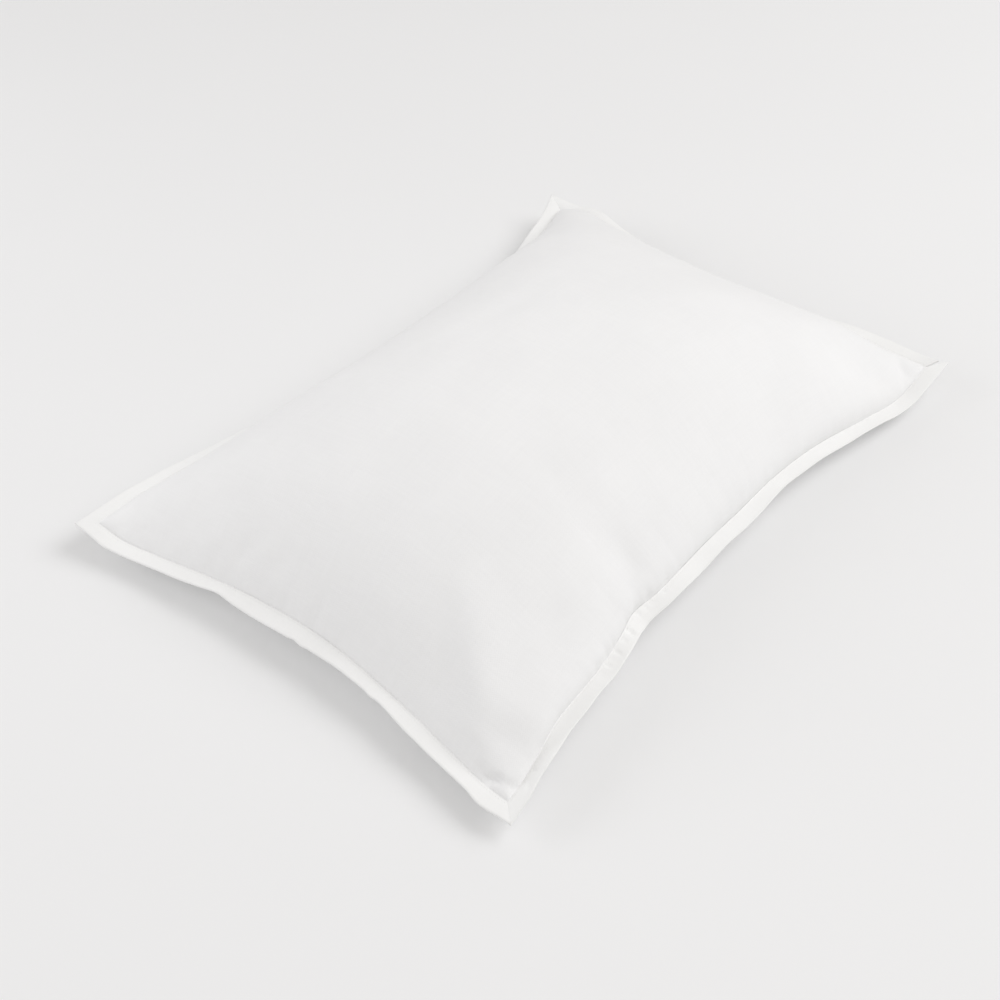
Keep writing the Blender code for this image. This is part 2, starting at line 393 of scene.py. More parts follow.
steps_long = round(PANEL_LONG / CLOTH_CELL)
steps_short = round(PANEL_SHORT / CLOTH_CELL)
bpy.ops.object.select_all(action="DESELECT")
bpy.ops.mesh.primitive_grid_add(x_subdivisions=steps_long, y_subdivisions=steps_short, size=1)
case = bpy.context.object
case.name = "case_cloth"
bpy.ops.object.mode_set(mode="EDIT")
bpy.ops.mesh.select_all(action="SELECT")
bpy.ops.transform.resize(value=(PANEL_LONG, PANEL_SHORT, 1))
bpy.ops.mesh.extrude_region_move(TRANSFORM_OT_translate={"value": (0, 0, SEAM_THICKNESS)})
bpy.ops.mesh.select_all(action="SELECT")
bpy.ops.mesh.normals_make_consistent(inside=False)
bpy.ops.mesh.select_all(action="DESELECT")
bpy.ops.mesh.edges_select_sharp(sharpness=math.radians(60))
bpy.ops.transform.edge_crease(value=1)  # a later subdivision keeps the seam where it is
bpy.ops.object.mode_set(mode="OBJECT")
print("flat pocket:", len(case.data.vertices), "points,", len(case.data.polygons), "faces")

# %% Reading and writing a mesh's points


def read_vectors(items, field):
    """One vector of each item as an array with a row each."""
    flat = np.empty(len(items) * 3, np.float32)
    items.foreach_get(field, flat)
    return flat.reshape(-1, 3).astype(float)


def points_of(mesh):
    """All points of a mesh."""
    return read_vectors(mesh.vertices, "co")


def move_points(mesh, points):
    """Gives a mesh new places for its points."""
    mesh.vertices.foreach_set("co", np.asarray(points, np.float32).ravel())
    mesh.update()


def keep_attribute(mesh, name, vectors):
    """Stores a vector at each point of a mesh, which subdivision carries along."""
    layer = mesh.attributes.new(name, "FLOAT_VECTOR", "POINT")
    layer.data.foreach_set("vector", np.asarray(vectors, np.float32).ravel())


def kept_attribute(mesh, name):
    """Reads a stored vector back."""
    return read_vectors(mesh.attributes[name].data, "vector")


flat_points = points_of(case.data)
is_upper = flat_points[:, 2] > SEAM_THICKNESS / 2
keep_attribute(case.data, "flat_place", np.column_stack([flat_points[:, :2], is_upper]))
print("upper panel:", int(is_upper.sum()), "points")

# %% [markdown]
# ## The filled form
#
# With a pillow inside, the upper panel crowns and the underside flattens where it
# rests. The four seams span a smooth sheet, and the crown rises from it: steep near
# the seam, nearly level on top. More of the cloth's rows go to the steep part, so that
# each cell keeps about its own size, as cotton doesn't stretch.

# %% The crown and the underside
CROWN_RISE = 112 * MM
CROWN_ROUNDNESS = (3.0, 2.6)
CROWN_EDGE = 0.8
UNDERSIDE_REACH = 0.42
UNDERSIDE_ROUNDNESS = (0.7, 1.5)
ROW_EVENNESS = 0.42


def crowded(position, evenness):
    """Turns a place on the flat panel, -1 to 1, into a share, 0 to 1, of the drawn-in side."""
    curved = np.sin(position * math.pi / 2)
    return 0.5 + 0.5 * (curved + (position - curved) * evenness)


def sheet_points(x_share, y_share):
    """Points of the smooth sheet that the four seams span."""
    x, y = x_share[:, None], y_share[:, None]
    between_long = FRONT.seam(x_share) * (1 - y) + BACK.seam(x_share) * y
    between_short = LEFT.seam(y_share) * (1 - x) + RIGHT.seam(y_share) * x
    front = LEFT.seam_start * (1 - x) + RIGHT.seam_start * x
    back = LEFT.seam_end * (1 - x) + RIGHT.seam_end * x
    return between_long + between_short - front * (1 - y) - back * y


def fullness(x_share, y_share):
    """How far the filling lifts the cloth: 0 at the seam, 1 at the crest."""
    lift_x = 1 - np.abs(2 * x_share - 1) ** CROWN_ROUNDNESS[0]
    lift_y = 1 - np.abs(2 * y_share - 1) ** CROWN_ROUNDNESS[1]
    return np.maximum(0, lift_x * lift_y) ** CROWN_EDGE


def filled_points(flat_place):
    """The filled form of the pocket for points given by their place on the flat panels."""
    x_place = flat_place[:, 0] / PANEL_LONG * 2
    y_place = flat_place[:, 1] / PANEL_SHORT * 2
    # Rows crowd together only where the panel rises steeply, which it doesn't at a corner.
    level_x = np.abs(x_place) ** CROWN_ROUNDNESS[0]
    level_y = np.abs(y_place) ** CROWN_ROUNDNESS[1]
    x_share = crowded(x_place, ROW_EVENNESS + (1 - ROW_EVENNESS) * level_y)
    y_share = crowded(y_place, ROW_EVENNESS + (1 - ROW_EVENNESS) * level_x)
    upper = flat_place[:, 2]
    points = sheet_points(x_share, y_share)
    lift = fullness(x_share, y_share)
    raised = points[:, 2] + SEAM_THICKNESS / 2 + CROWN_RISE * lift
    inward = np.minimum(1, lift / UNDERSIDE_REACH)
    sinking = (1 - inward ** UNDERSIDE_ROUNDNESS[0]) ** UNDERSIDE_ROUNDNESS[1]
    lowered = (points[:, 2] - SEAM_THICKNESS / 2) * sinking
    points[:, 2] = raised * upper + np.maximum(0, lowered) * (1 - upper)
    return points


flat_place = kept_attribute(case.data, "flat_place")
filled = filled_points(flat_place)
print("crest height:", round(float(filled[:, 2].max()) / MM, 1), "mm")

# %% [markdown]
# ## Settling the cloth
#
# A formula gives a form that is too perfect. The real panel was cut flat, so it has
# too much cloth along its drawn-in edges, and it puckers there. Blender's cloth
# simulation finds those puckers. The flat panels are stored as the shape in which the
# cloth is at ease, the filled form is where it starts, and pressure pushes from
# inside. The seam and the underside are held where they are.

# %% What the cloth is like, and where it is held
SETTLING_FRAMES = 10
CLOTH_SETTINGS = {
    "quality": 6,
    "mass": 0.01,
    "tension_stiffness": 80,
    "compression_stiffness": 6,
    "shear_stiffness": 5,
    "bending_stiffness": 15,
    "tension_damping": 1,
    "compression_damping": 1,
    "shear_damping": 1,
    "bending_damping": 0.5,
    "air_damping": 2,
    "use_pressure": True,
    "uniform_pressure_force": 400,
}
on_rim = (np.abs(flat_place[:, 0]) > PANEL_LONG / 2 - MM) | (
    np.abs(flat_place[:, 1]) > PANEL_SHORT / 2 - MM
)
held = on_rim | ~is_upper
print("held:", int(held.sum()), "points")

# %% Run the cloth


def settle(cloth_object, at_ease, held):
    """Runs the cloth under pressure from where it is, and returns where its points end."""
    cloth_object.shape_key_add(name="filled")
    ease_key = cloth_object.shape_key_add(name="flat panels")
    ease_key.data.foreach_set("co", np.asarray(at_ease, np.float32).ravel())
    ease_key.value = 0
    group = cloth_object.vertex_groups.new(name="held")
    group.add([int(i) for i in np.flatnonzero(held)], 1.0, "REPLACE")
    # Cloth reads its shape at ease only where a modifier of another kind stands before it,
    # so an empty UV Warp, which changes nothing, stands first.
    cloth_object.modifiers.new("stands first", "UV_WARP")
    modifier = cloth_object.modifiers.new("settling", "CLOTH")
    for name, value in CLOTH_SETTINGS.items():
        setattr(modifier.settings, name, value)
    modifier.settings.rest_shape_key = ease_key
    modifier.settings.vertex_group_mass = group.name
    modifier.settings.effector_weights.gravity = 0
    modifier.collision_settings.use_collision = False
    for frame_number in range(1, SETTLING_FRAMES + 1):
        scene.frame_set(frame_number)
    evaluated = cloth_object.evaluated_get(bpy.context.evaluated_depsgraph_get())
    ended = points_of(evaluated.data)
    cloth_object.modifiers.clear()
    cloth_object.shape_key_clear()
    cloth_object.vertex_groups.clear()
    scene.frame_set(1)
    return ended


move_points(case.data, filled)
moved = np.zeros_like(filled)
at_ease = np.column_stack([flat_place[:, :2], flat_place[:, 2] * SEAM_THICKNESS])
moved = settle(case, at_ease, held) - filled
print("the cloth moved", round(float(np.abs(moved).max()) / MM, 1), "mm at most")

# %% [markdown]
# ## How much of the movement is kept
#
# The movement has two parts: a slow, wide one that changes the crown, and the puckers
# on it. Smoothing the panel's grid many times leaves the wide part, and the rest is the
# puckers. Close cotton over a firm filling gathers softly, so a share of each is kept,
# and no point moves further than a cap. The form stays the one in the photograph.

# %% Broad and fine movement
BROAD_SHARE = 0.5
FINE_SHARE = 0.35
MOVE_CAP = 8 * MM
BROAD_ROUNDS = 120  # of smoothing, which spreads over about 45 mm
NEAR_ZERO = 1e-9


def broad_part(movement, rounds):
    """What is left of a panel's movement when its puckers are smoothed out, seam held."""
    smooth = movement.copy()
    for _ in range(rounds):
        middle = smooth[1:-1, :-2] + smooth[1:-1, 2:] + smooth[:-2, 1:-1] + smooth[2:, 1:-1]
        smooth[1:-1, 1:-1] = middle / 4
    return smooth


# The upper panel's points lie in rows and columns, and so does their movement.
column = np.round((flat_place[is_upper, 0] / PANEL_LONG + 0.5) * steps_long).astype(int)
row = np.round((flat_place[is_upper, 1] / PANEL_SHORT + 0.5) * steps_short).astype(int)
movement = np.zeros((steps_short + 1, steps_long + 1, 3))
movement[row, column] = moved[is_upper]
broad = broad_part(movement, BROAD_ROUNDS)
kept = BROAD_SHARE * broad + FINE_SHARE * (movement - broad)
reach = np.linalg.norm(kept, axis=2, keepdims=True)
kept *= MOVE_CAP * np.tanh(reach / MOVE_CAP) / np.maximum(reach, NEAR_ZERO)
settled = filled.copy()
settled[is_upper] += kept[row, column]
move_points(case.data, settled)
print("crest after settling:", round(float(settled[:, 2].max()) / MM, 1), "mm")

# %% [markdown]
# ## Finer points
#
# One round of subdivision halves the cells to 3 mm and rounds them, which is fine
# enough for the small gathers that come next.

# %% Subdivide the case


def select_only(piece):
    """Makes one object the only selected one, and the active one."""
    bpy.ops.object.select_all(action="DESELECT")
    piece.select_set(True)
    bpy.context.view_layer.objects.active = piece


select_only(case)
finer = case.modifiers.new("finer", "SUBSURF")
finer.levels = 1
finer.render_levels = 1
finer.boundary_smooth = "PRESERVE_CORNERS"
bpy.ops.object.modifier_apply(modifier=finer.name)
print("case cloth:", len(case.data.vertices), "points")

# %% [markdown]
# ## Soft folds and gathers
#
# The photograph shows a few soft forms on the smooth panel: a ridge that runs in from
# each near corner, shallow troughs beside it, creases right at the corner, and tucks
# and tiny gathers where the cloth goes into the seam. Along the front seam the filling
# also pushes the cloth out, so it stands nearly upright there. Each fold, tuck and wall
# is a row of a table. The gathers are noise that is stretched across the seam and
# fades within a few centimetres of it.

# %% Folds: ends as shares along X and Y, half width and depth in mm (minus is a ridge)
Fold = namedtuple("Fold", "from_x from_y to_x to_y half_width depth")
FOLDS = (
    Fold(-0.03, 0.01, 0.16, 0.26, 20, -6.0),
    Fold(0.01, 0.14, 0.12, 0.30, 20, 2.4),
    Fold(0.12, 0.01, 0.24, 0.15, 20, 2.0),
    Fold(0.02, 0.97, 0.16, 0.80, 22, -2.4),
    Fold(0.01, 0.85, 0.12, 0.73, 16, 1.8),
    Fold(0.01, 0.70, 0.06, 0.66, 12, 1.5),
    Fold(0.01, 0.60, 0.06, 0.58, 12, 1.5),
    Fold(0.27, 0.73, 0.65, 0.61, 13, 0.8),
    Fold(0.40, 0.65, 0.77, 0.64, 12, 0.8),
    Fold(0.99, 0.02, 0.84, 0.06, 14, 1.6),
    Fold(0.97, 0.10, 0.86, 0.22, 18, 1.5),
    Fold(0.31, 0.00, 0.35, 0.10, 12, 1.8),
    Fold(0.25, 0.00, 0.28, 0.07, 10, 1.2),
    Fold(0.93, 0.95, 0.78, 0.82, 16, 2.2),
)
# These lie right at a corner or on the seam, where the other folds have faded out.
CREASES = (
    Fold(0.012, 0.082, 0.004, 0.040, 3.4, 2.8),
    Fold(0.004, 0.060, 0.016, 0.012, 3.4, 4.6),
    Fold(0.004, 0.024, 0.034, -0.016, 3.2, 3.8),
    Fold(0.000, 0.030, 0.006, 0.012, 2.6, 1.2),
    Fold(0.004, 0.930, 0.030, 0.905, 3.5, 0.9),
    Fold(0.004, 0.960, 0.024, 0.940, 3.0, 0.8),
    Fold(0.985, 0.045, 0.955, 0.010, 7, 1.0),
)
print("folds:", len(FOLDS), "and creases:", len(CREASES))

# %% Tucks, which cross the seam: share along it, depth, half width and length in mm
Tuck = namedtuple("Tuck", "side share depth half_width length")
TUCKS = [Tuck("front", *row) for row in (
    (0.075, 0.8, 4.0, 10),
    (0.205, 1.5, 4.0, 13),
    (0.232, 1.5, 3.5, 14),
    (0.246, 0.9, 3.0, 12),
    (0.285, 1.3, 4.0, 18),
    (0.312, 1.0, 3.5, 14),
    (0.340, 1.9, 4.0, 13),
    (0.375, 0.9, 3.5, 14),
)] + [Tuck("left", *row) for row in (
    (0.420, 0.5, 4.0, 14),
    (0.585, 0.7, 4.5, 18),
    (0.640, 0.5, 4.0, 14),
    (0.905, 0.6, 3.5, 16),
    (0.940, 0.6, 3.0, 12),
)]
print("tucks:", len(TUCKS))

# %% Walls, where the cloth stands nearly upright: swell and reach in mm, shares along the side
Wall = namedtuple("Wall", "side swell reach start end fade")
WALLS = (Wall("front", 5.6, 20, 0.05, 0.97, 0.05),)
print("walls:", len(WALLS))

# %% Fades, bells and noise


def fade_in(distance, reach):
    """0 at no distance, and 1 from the reach onwards."""
    return np.clip(distance / reach, 0, 1)


def bell(*distances):
    """1 in the middle, fading smoothly with each distance, which is given in reaches."""
    return np.exp(-sum(distance**2 for distance in distances))


def noise_at(*columns):
    """Smooth noise, -1 to 1, at places that are given by three columns, or numbers."""
    places = np.column_stack(np.broadcast_arrays(*columns))
    return np.array([noise.noise(Vector(place)) for place in places])


print("noise at a place:", noise_at([0.3], 0.5, 0.7).round(2))

# %% Where folds and seams lie on the cloth
FOLD_TAPER = 1.5
PANEL_SIZE = (PANEL_LONG, PANEL_SHORT)


def fold_depths(folds, points):
    """How deep a table's folds together sink the cloth at each point."""
    depths = np.zeros(len(points))
    for fold in folds:
        ends = sheet_points(np.array([fold.from_x, fold.to_x]), np.array([fold.from_y, fold.to_y]))
        start, run = ends[0, :2], ends[1, :2] - ends[0, :2]
        offset = points[:, :2] - start
        length = np.linalg.norm(run)
        along = offset @ run / length**2
        across = (offset[:, 0] * run[1] - offset[:, 1] * run[0]) / length
        taper = np.sin(math.pi * np.clip(along, 0, 1)) ** FOLD_TAPER
        depths += fold.depth * MM * taper * bell(across / (fold.half_width * MM))
    return depths


def from_seam_of(side_name, flat_place):
    """How far each point is from the front or left seam, its length, and the share along it."""
    along, away = (0, 1) if side_name == "front" else (1, 0)
    from_seam = flat_place[:, away] + PANEL_SIZE[away] / 2
    return from_seam, PANEL_SIZE[along], flat_place[:, along] / PANEL_SIZE[along] + 0.5


print("panel:", PANEL_SIZE, "m")

# %% The relief of the case's cloth
LUMP_SIZE = 55 * MM
SMALL_LUMP_SIZE = LUMP_SIZE * 0.4
SMALL_LUMP_SHARE = 0.35
LUMP_HEIGHT = 0.7 * MM
LUMP_FADE = 30 * MM  # a form reaches its full size this far from the seam
GATHER_PITCH = 9 * MM
GATHER_STRETCH = 3  # a gather is this many times as long as it is wide
GATHER_REACH = 14 * MM
GATHER_HEIGHT = 0.6 * MM
GATHER_FADE = 3 * MM
CORNER_FILL = 4.0 * MM  # the filling pushes into the corners, so they rise at once
CORNER_REACH = 38 * MM
CORNER_RISE = 6 * MM
FOLD_FADE = 25 * MM
CREASE_FADE = 4 * MM
TUCK_FADE = 2 * MM
SMALL_LUMP_SEED = 7.3  # the seeds keep one noise apart from the next
PANEL_SEED = 0.3
SEAM_SEED = 5.1


def lumps_and_gathers(flat_place):
    """The forms that are noise: lumps of the filling, and gathers along the seam."""
    x_in = PANEL_LONG / 2 - np.abs(flat_place[:, 0])
    y_in = PANEL_SHORT / 2 - np.abs(flat_place[:, 1])
    from_seam = np.minimum(x_in, y_in)
    by_short_side = x_in < y_in
    along_seam = np.where(by_short_side, flat_place[:, 1], flat_place[:, 0])
    side_of_middle = np.sign(flat_place)
    which_seam = np.where(by_short_side, side_of_middle[:, 0] * 2, side_of_middle[:, 1] * 3)
    lumps = noise_at(*(flat_place * (1, 1, PANEL_SEED) / LUMP_SIZE).T)
    small_lumps = noise_at(*(flat_place / SMALL_LUMP_SIZE + SMALL_LUMP_SEED).T)
    gather_length = GATHER_STRETCH * GATHER_PITCH
    gathers = noise_at(along_seam / GATHER_PITCH, from_seam / gather_length, which_seam * SEAM_SEED)
    fade = np.exp(-from_seam / GATHER_REACH) * fade_in(from_seam, GATHER_FADE)
    lumpiness = (lumps + SMALL_LUMP_SHARE * small_lumps) * LUMP_HEIGHT
    relief = lumpiness * fade_in(from_seam, LUMP_FADE) + gathers * GATHER_HEIGHT * fade
    rising = 1 - np.exp(-from_seam / CORNER_RISE)
    relief += CORNER_FILL * bell(np.hypot(x_in, y_in) / CORNER_REACH) * rising
    return relief, from_seam


def case_relief(flat_place, points):
    """How far each point of the case's cloth stands out or sinks in, in metres."""
    relief, from_seam = lumps_and_gathers(flat_place)
    relief -= fold_depths(FOLDS, points) * fade_in(from_seam, FOLD_FADE)
    relief -= fold_depths(CREASES, points) * fade_in(from_seam, CREASE_FADE)
    for wall in WALLS:
        near_side, _, seam_share = from_seam_of(wall.side, flat_place)
        inward = near_side / (wall.reach * MM)
        ends = fade_in(np.minimum(seam_share - wall.start, wall.end - seam_share), wall.fade)
        relief += wall.swell * MM * inward * np.exp(1 - inward) * ends**2 * (3 - 2 * ends)
    for tuck in TUCKS:
        near_side, side_length, seam_share = from_seam_of(tuck.side, flat_place)
        across = (seam_share - tuck.share) * side_length / (tuck.half_width * MM)
        near = bell(across, near_side / (tuck.length * MM))
        relief -= tuck.depth * MM * near * fade_in(near_side, TUCK_FADE)
    return relief


print("lumps:", round(LUMP_SIZE / MM), "mm wide, gathers:", round(GATHER_PITCH / MM), "mm")

# %% Raise the relief
SMOOTH_ANGLE = math.radians(50)  # a bend under this is shaded smooth

flat_place = kept_attribute(case.data, "flat_place")
points = points_of(case.data)
upper = flat_place[:, 2:3] > 0.5
relief = case_relief(flat_place, points)[:, None] * upper
points += read_vectors(case.data.vertex_normals, "vector") * relief
points[:, 2] = np.maximum(points[:, 2], 0)
move_points(case.data, points)
select_only(case)
bpy.ops.object.shade_smooth_by_angle(angle=SMOOTH_ANGLE)
print("relief:", round(float(relief.min()) / MM, 2), "to", round(float(relief.max()) / MM, 2), "mm")

# %% [markdown]
# ## The flange
#
# Outside the seam runs a flat border, 15 mm wide. It is a folded strip of the same
# cotton along each side, four layers thick with its turned edges, and the strips meet
# at the corners in mitres. Each strip is made flat, as long as its side is from corner
# to corner, given its thickness by an extrusion, and then laid along that side: its
# inner edge follows the seam and its outer edge the ripples. A row of stitches presses
# it thin near the seam, and the seam's pull bends its edge and leaves small hollows.

# %% Bends of a strip's outer edge: how far out and up it goes, and half the bend's length, in mm
Kink = namedtuple("Kink", "side share out up reach")
KINKS = [Kink("left", *row) for row in (
    (0.960, 0.9, -0.3, 8),
    (0.800, 0.5, -0.2, 24),
    (0.690, -1.6, 0.6, 13),
    (0.555, 2.6, -1.4, 42),
    (0.500, -0.8, 0.3, 3.5),
    (0.482, 0.6, -0.4, 5),
    (0.312, 1.0, -0.4, 5),
    (0.305, -1.9, 0.8, 24),
    (0.200, 0.8, 0.0, 24),
    (0.035, 2.2, -1.2, 10),
)] + [Kink("front", *row) for row in (
    (0.022, 0.8, 0.4, 5),
    (0.045, -0.8, 0.0, 6),
    (0.185, -1.4, 0.4, 16),
    (0.305, 1.2, -0.5, 7),
    (0.650, -1.2, 0.6, 22),
)]
print("bends:", len(KINKS))

# %% Hollows in a strip, where the seam's gathers pull at it: middle, half size and depth in mm
Hollow = namedtuple("Hollow", "side share from_seam half_long half_across depth")
HOLLOWS = [Hollow("front", *row) for row in (
    (0.0300, 9.0, 3.0, 2.4, 0.9),
    (0.0480, 5.0, 2.2, 3.0, 0.8),
    (0.2220, 5.0, 2.0, 3.0, 1.0),
    (0.2450, 5.2, 2.2, 3.6, 1.4),
    (0.2660, 5.0, 2.4, 2.6, 1.1),
    (0.2840, 6.0, 2.4, 4.0, 2.3),
    (0.3150, 4.0, 2.0, 2.6, 0.9),
    (0.3290, 4.0, 2.0, 2.6, 0.9),
    (0.3650, 3.4, 3.0, 2.0, 0.8),
)]
print("hollows:", len(HOLLOWS))

# %% The thickness of a strip, and its directions
STITCH_INSET = 2.2 * MM  # from the seam to the row of stitches
STITCH_DIP = 0.27  # share of the thickness that the stitches press away
STITCH_REACH = 3.5 * MM
FOLD_TIP = 0.02  # the outer edge is cut off this share of a radius early


def half_thickness(from_seam):
    """Half the strip's thickness at a distance from the seam: pressed, plump, then folded."""
    radius = FLANGE_THICKNESS / 2
    from_fold = np.clip((FLANGE_WIDTH - from_seam) / radius, FOLD_TIP, 1)
    rounding = np.sqrt(from_fold * (2 - from_fold))
    pressed = 1 - STITCH_DIP * bell(from_seam / STITCH_REACH)
    return radius * rounding * pressed


def strip_directions(side, inner, outer):
    """Unit vectors at each point of a strip: outwards across it, and up from its face."""
    across = outer - inner
    across /= np.linalg.norm(across, axis=1, keepdims=True)
    up = np.cross(side.along(), across)
    up *= np.sign(up[:, 2:3])
    up /= np.linalg.norm(up, axis=1, keepdims=True)
    return across, up


print("at the stitches a strip is", round(2 * half_thickness(STITCH_INSET) / MM, 2), "mm thick")

# %% The shape of a strip
WAVE_PITCH = 26 * MM
WAVE_HEIGHT = 0.7 * MM
WAVE_DRIFT = 0.6  # how much a wave changes across the strip
FINE_WAVE_PITCH = WAVE_PITCH * 0.35
FINE_WAVE_SHARE = 0.3
EDGE_WANDER = 0.5 * MM
WANDER_PITCH = WAVE_PITCH * 1.3
SIDE_SEED = 10.0
FINE_SEED = 4
WANDER_SEED = 2.5
TUCK_SHARE = 0.3  # how much of a tuck's depth goes on into the strip
TUCK_LENGTH = 0.5  # and how much of its length


def forms_on(side, table):
    """The rows of a table that lie on one side."""
    return [form for form in table if form.side == side.name]


def strip_points(side, share, outward, layer):
    """Points of a strip: share along it, outward 0 to 1 across it, layer -1 below to 1 above."""
    inner = side.seam(share) + PIECE_GAP * side.outward
    outer = side.edge(share)
    place = inner + (outer - inner) * outward[:, None]
    across, up = strip_directions(side, inner, outer)
    seed = SIDE_SEED * SIDES.index(side)
    along = share * side.length
    free = np.sin(math.pi * np.clip(share, 0, 1)) ** 0.5
    waves = noise_at(along / WAVE_PITCH, outward * WAVE_DRIFT, seed)
    fine = noise_at(along / FINE_WAVE_PITCH, outward, seed + FINE_SEED)
    wander = noise_at(along / WANDER_PITCH, seed + WANDER_SEED, 0.0)
    lift = (waves * WAVE_HEIGHT + fine * WAVE_HEIGHT * FINE_WAVE_SHARE) * outward * free
    place += up * lift[:, None] + across * (wander * EDGE_WANDER * outward * free)[:, None]

    def distance_from(form, reach):
        return (share - form.share) * side.length / (reach * MM)

    for kink in forms_on(side, KINKS):
        near = bell(distance_from(kink, kink.reach)) * outward
        place += across * (kink.out * MM * near)[:, None] + up * (kink.up * MM * near)[:, None]
    for tuck in forms_on(side, TUCKS):
        from_seam = outward * FLANGE_WIDTH / (TUCK_LENGTH * tuck.length * MM)
        near = bell(distance_from(tuck, tuck.half_width), from_seam)
        place -= up * (tuck.depth * MM * TUCK_SHARE * near)[:, None]
    for hollow in forms_on(side, HOLLOWS):
        from_middle = (outward * FLANGE_WIDTH - hollow.from_seam * MM) / (hollow.half_across * MM)
        near = bell(distance_from(hollow, hollow.half_long), from_middle)
        place -= up * (hollow.depth * MM * near)[:, None]
    place += side.along() * (MITRE_GAP * (1 - 2 * share))[:, None]
    return place + up * (half_thickness(outward * FLANGE_WIDTH) * layer)[:, None]


middle = strip_points(FRONT, np.array([0.5]), np.array([0.5]), np.array([0.0]))
print("middle of the front strip:", (middle / MM).round(1))

# %% Make the four strips
STRIP_CELL = 1.6 * MM
STRIP_COLUMNS = 10
EDGE_CROWDING = 0.5


def crowded_to_edges(t):
    """Turns an even share across the strip into one with more columns at both edges."""
    return (1 - EDGE_CROWDING) * t + EDGE_CROWDING / 2 * (1 - np.cos(math.pi * t))


def make_strip(side):
    """One strip of the flange: a flat folded strip first, then laid along its side."""
    steps = round(side.length / STRIP_CELL)
    bpy.ops.object.select_all(action="DESELECT")
    bpy.ops.mesh.primitive_grid_add(x_subdivisions=steps, y_subdivisions=STRIP_COLUMNS, size=1)
    strip = bpy.context.object
    strip.name = f"{side.name}_flange_cloth"
    bpy.ops.object.mode_set(mode="EDIT")
    bpy.ops.mesh.select_all(action="SELECT")
    bpy.ops.transform.resize(value=(side.length, FLANGE_WIDTH, 1))
    bpy.ops.mesh.extrude_region_move(TRANSFORM_OT_translate={"value": (0, 0, FLANGE_THICKNESS)})
    bpy.ops.object.mode_set(mode="OBJECT")
    flat = points_of(strip.data)
    share = flat[:, 0] / side.length + 0.5
    outward = crowded_to_edges(flat[:, 1] / FLANGE_WIDTH + 0.5)
    layer = np.where(flat[:, 2] > FLANGE_THICKNESS / 2, 1.0, -1.0)
    flat_place = np.column_stack([flat[:, 0], outward * FLANGE_WIDTH, layer])
    keep_attribute(strip.data, "flat_place", flat_place)
    move_points(strip.data, strip_points(side, share, outward, layer))
    bpy.ops.object.mode_set(mode="EDIT")
    bpy.ops.mesh.select_all(action="SELECT")
    bpy.ops.mesh.normals_make_consistent(inside=False)
    bpy.ops.object.mode_set(mode="OBJECT")
    select_only(strip)
    bpy.ops.object.shade_smooth_by_angle(angle=SMOOTH_ANGLE)
    return strip


strips = {side.name: make_strip(side) for side in SIDES}
print("flange:", {name: len(strip.data.polygons) for name, strip in strips.items()}, "faces")

# %% [markdown]
# ## The stitches
#
# A row of lockstitch runs along the inner edge of the flange, on top and underneath. On
# the real case it is white thread, and each stitch is a short bright grain that dips
# into the cloth at both ends. A bump could fake it from afar, but not from close by, so
# one stitch is modelled, an Array modifier repeats it, and a Curve modifier lays the
# row along the seam.

# %% One stitch
STITCH_PITCH = 3.0 * MM
STITCH_LENGTH = 2.5 * MM
THREAD_RADIUS = 0.22 * MM
STITCH_SINK = 0.28 * MM  # how far the ends of a stitch dip into the cloth

bpy.ops.object.select_all(action="DESELECT")
bpy.ops.mesh.primitive_uv_sphere_add(segments=6, ring_count=6, radius=1, rotation=(0, math.pi / 2, 0))
stitch = bpy.context.object
bpy.ops.object.transform_apply(rotation=True)
round_points = points_of(stitch.data)
thread_turn = np.arctan2(round_points[:, 1], round_points[:, 2])
stitch_points = round_points * (STITCH_LENGTH / 2, THREAD_RADIUS, THREAD_RADIUS)
stitch_points[:, 2] -= STITCH_SINK * round_points[:, 0] ** 4
stitch_points[:, 0] += STITCH_PITCH / 2
thread_place = np.column_stack([stitch_points[:, 0], thread_turn, np.zeros_like(thread_turn)])
keep_attribute(stitch.data, "thread_place", thread_place)
move_points(stitch.data, stitch_points)
bpy.ops.object.shade_smooth()
print("one stitch:", len(stitch.data.polygons), "faces")

# %% Sew the rows
ROW_STEP = 4 * MM  # between the points of the curve that carries a row
ROW_MARGIN = 0.004  # share of a side that a row leaves free at each corner


def row_path(side, layer):
    """A curve along one row of stitches, on top of the strip (layer 1) or under it (-1)."""
    steps = round(side.length / ROW_STEP)
    share = np.linspace(ROW_MARGIN, 1 - ROW_MARGIN, steps)
    inset = np.full(steps, STITCH_INSET / FLANGE_WIDTH)
    route = strip_points(side, share, inset, np.full(steps, float(layer)))
    curve = bpy.data.curves.new("row_path", "CURVE")
    curve.dimensions = "3D"
    curve.twist_mode = "Z_UP"
    spline = curve.splines.new("POLY")
    spline.points.add(steps - 1)
    spline.points.foreach_set("co", np.column_stack([route, np.ones(steps)]).ravel())
    path = bpy.data.objects.new("row_path", curve)
    scene.collection.objects.link(path)
    return path


def sew_row(side, layer):
    """One row of stitches as a mesh."""
    select_only(stitch)
    bpy.ops.object.duplicate()
    row = bpy.context.object
    if layer < 0:
        row.rotation_euler.x = math.pi
        bpy.ops.object.transform_apply(rotation=True)
    path = row_path(side, layer)
    repeat = row.modifiers.new("repeat", "ARRAY")
    repeat.fit_type = "FIT_CURVE"
    repeat.curve = path
    repeat.use_relative_offset = False
    repeat.use_constant_offset = True
    repeat.constant_offset_displace = (STITCH_PITCH, 0, 0)
    lay = row.modifiers.new("lay along the seam", "CURVE")
    lay.object = path
    lay.deform_axis = "POS_X"
    for modifier in (repeat.name, lay.name):
        bpy.ops.object.modifier_apply(modifier=modifier)
    bpy.data.objects.remove(path)
    return row


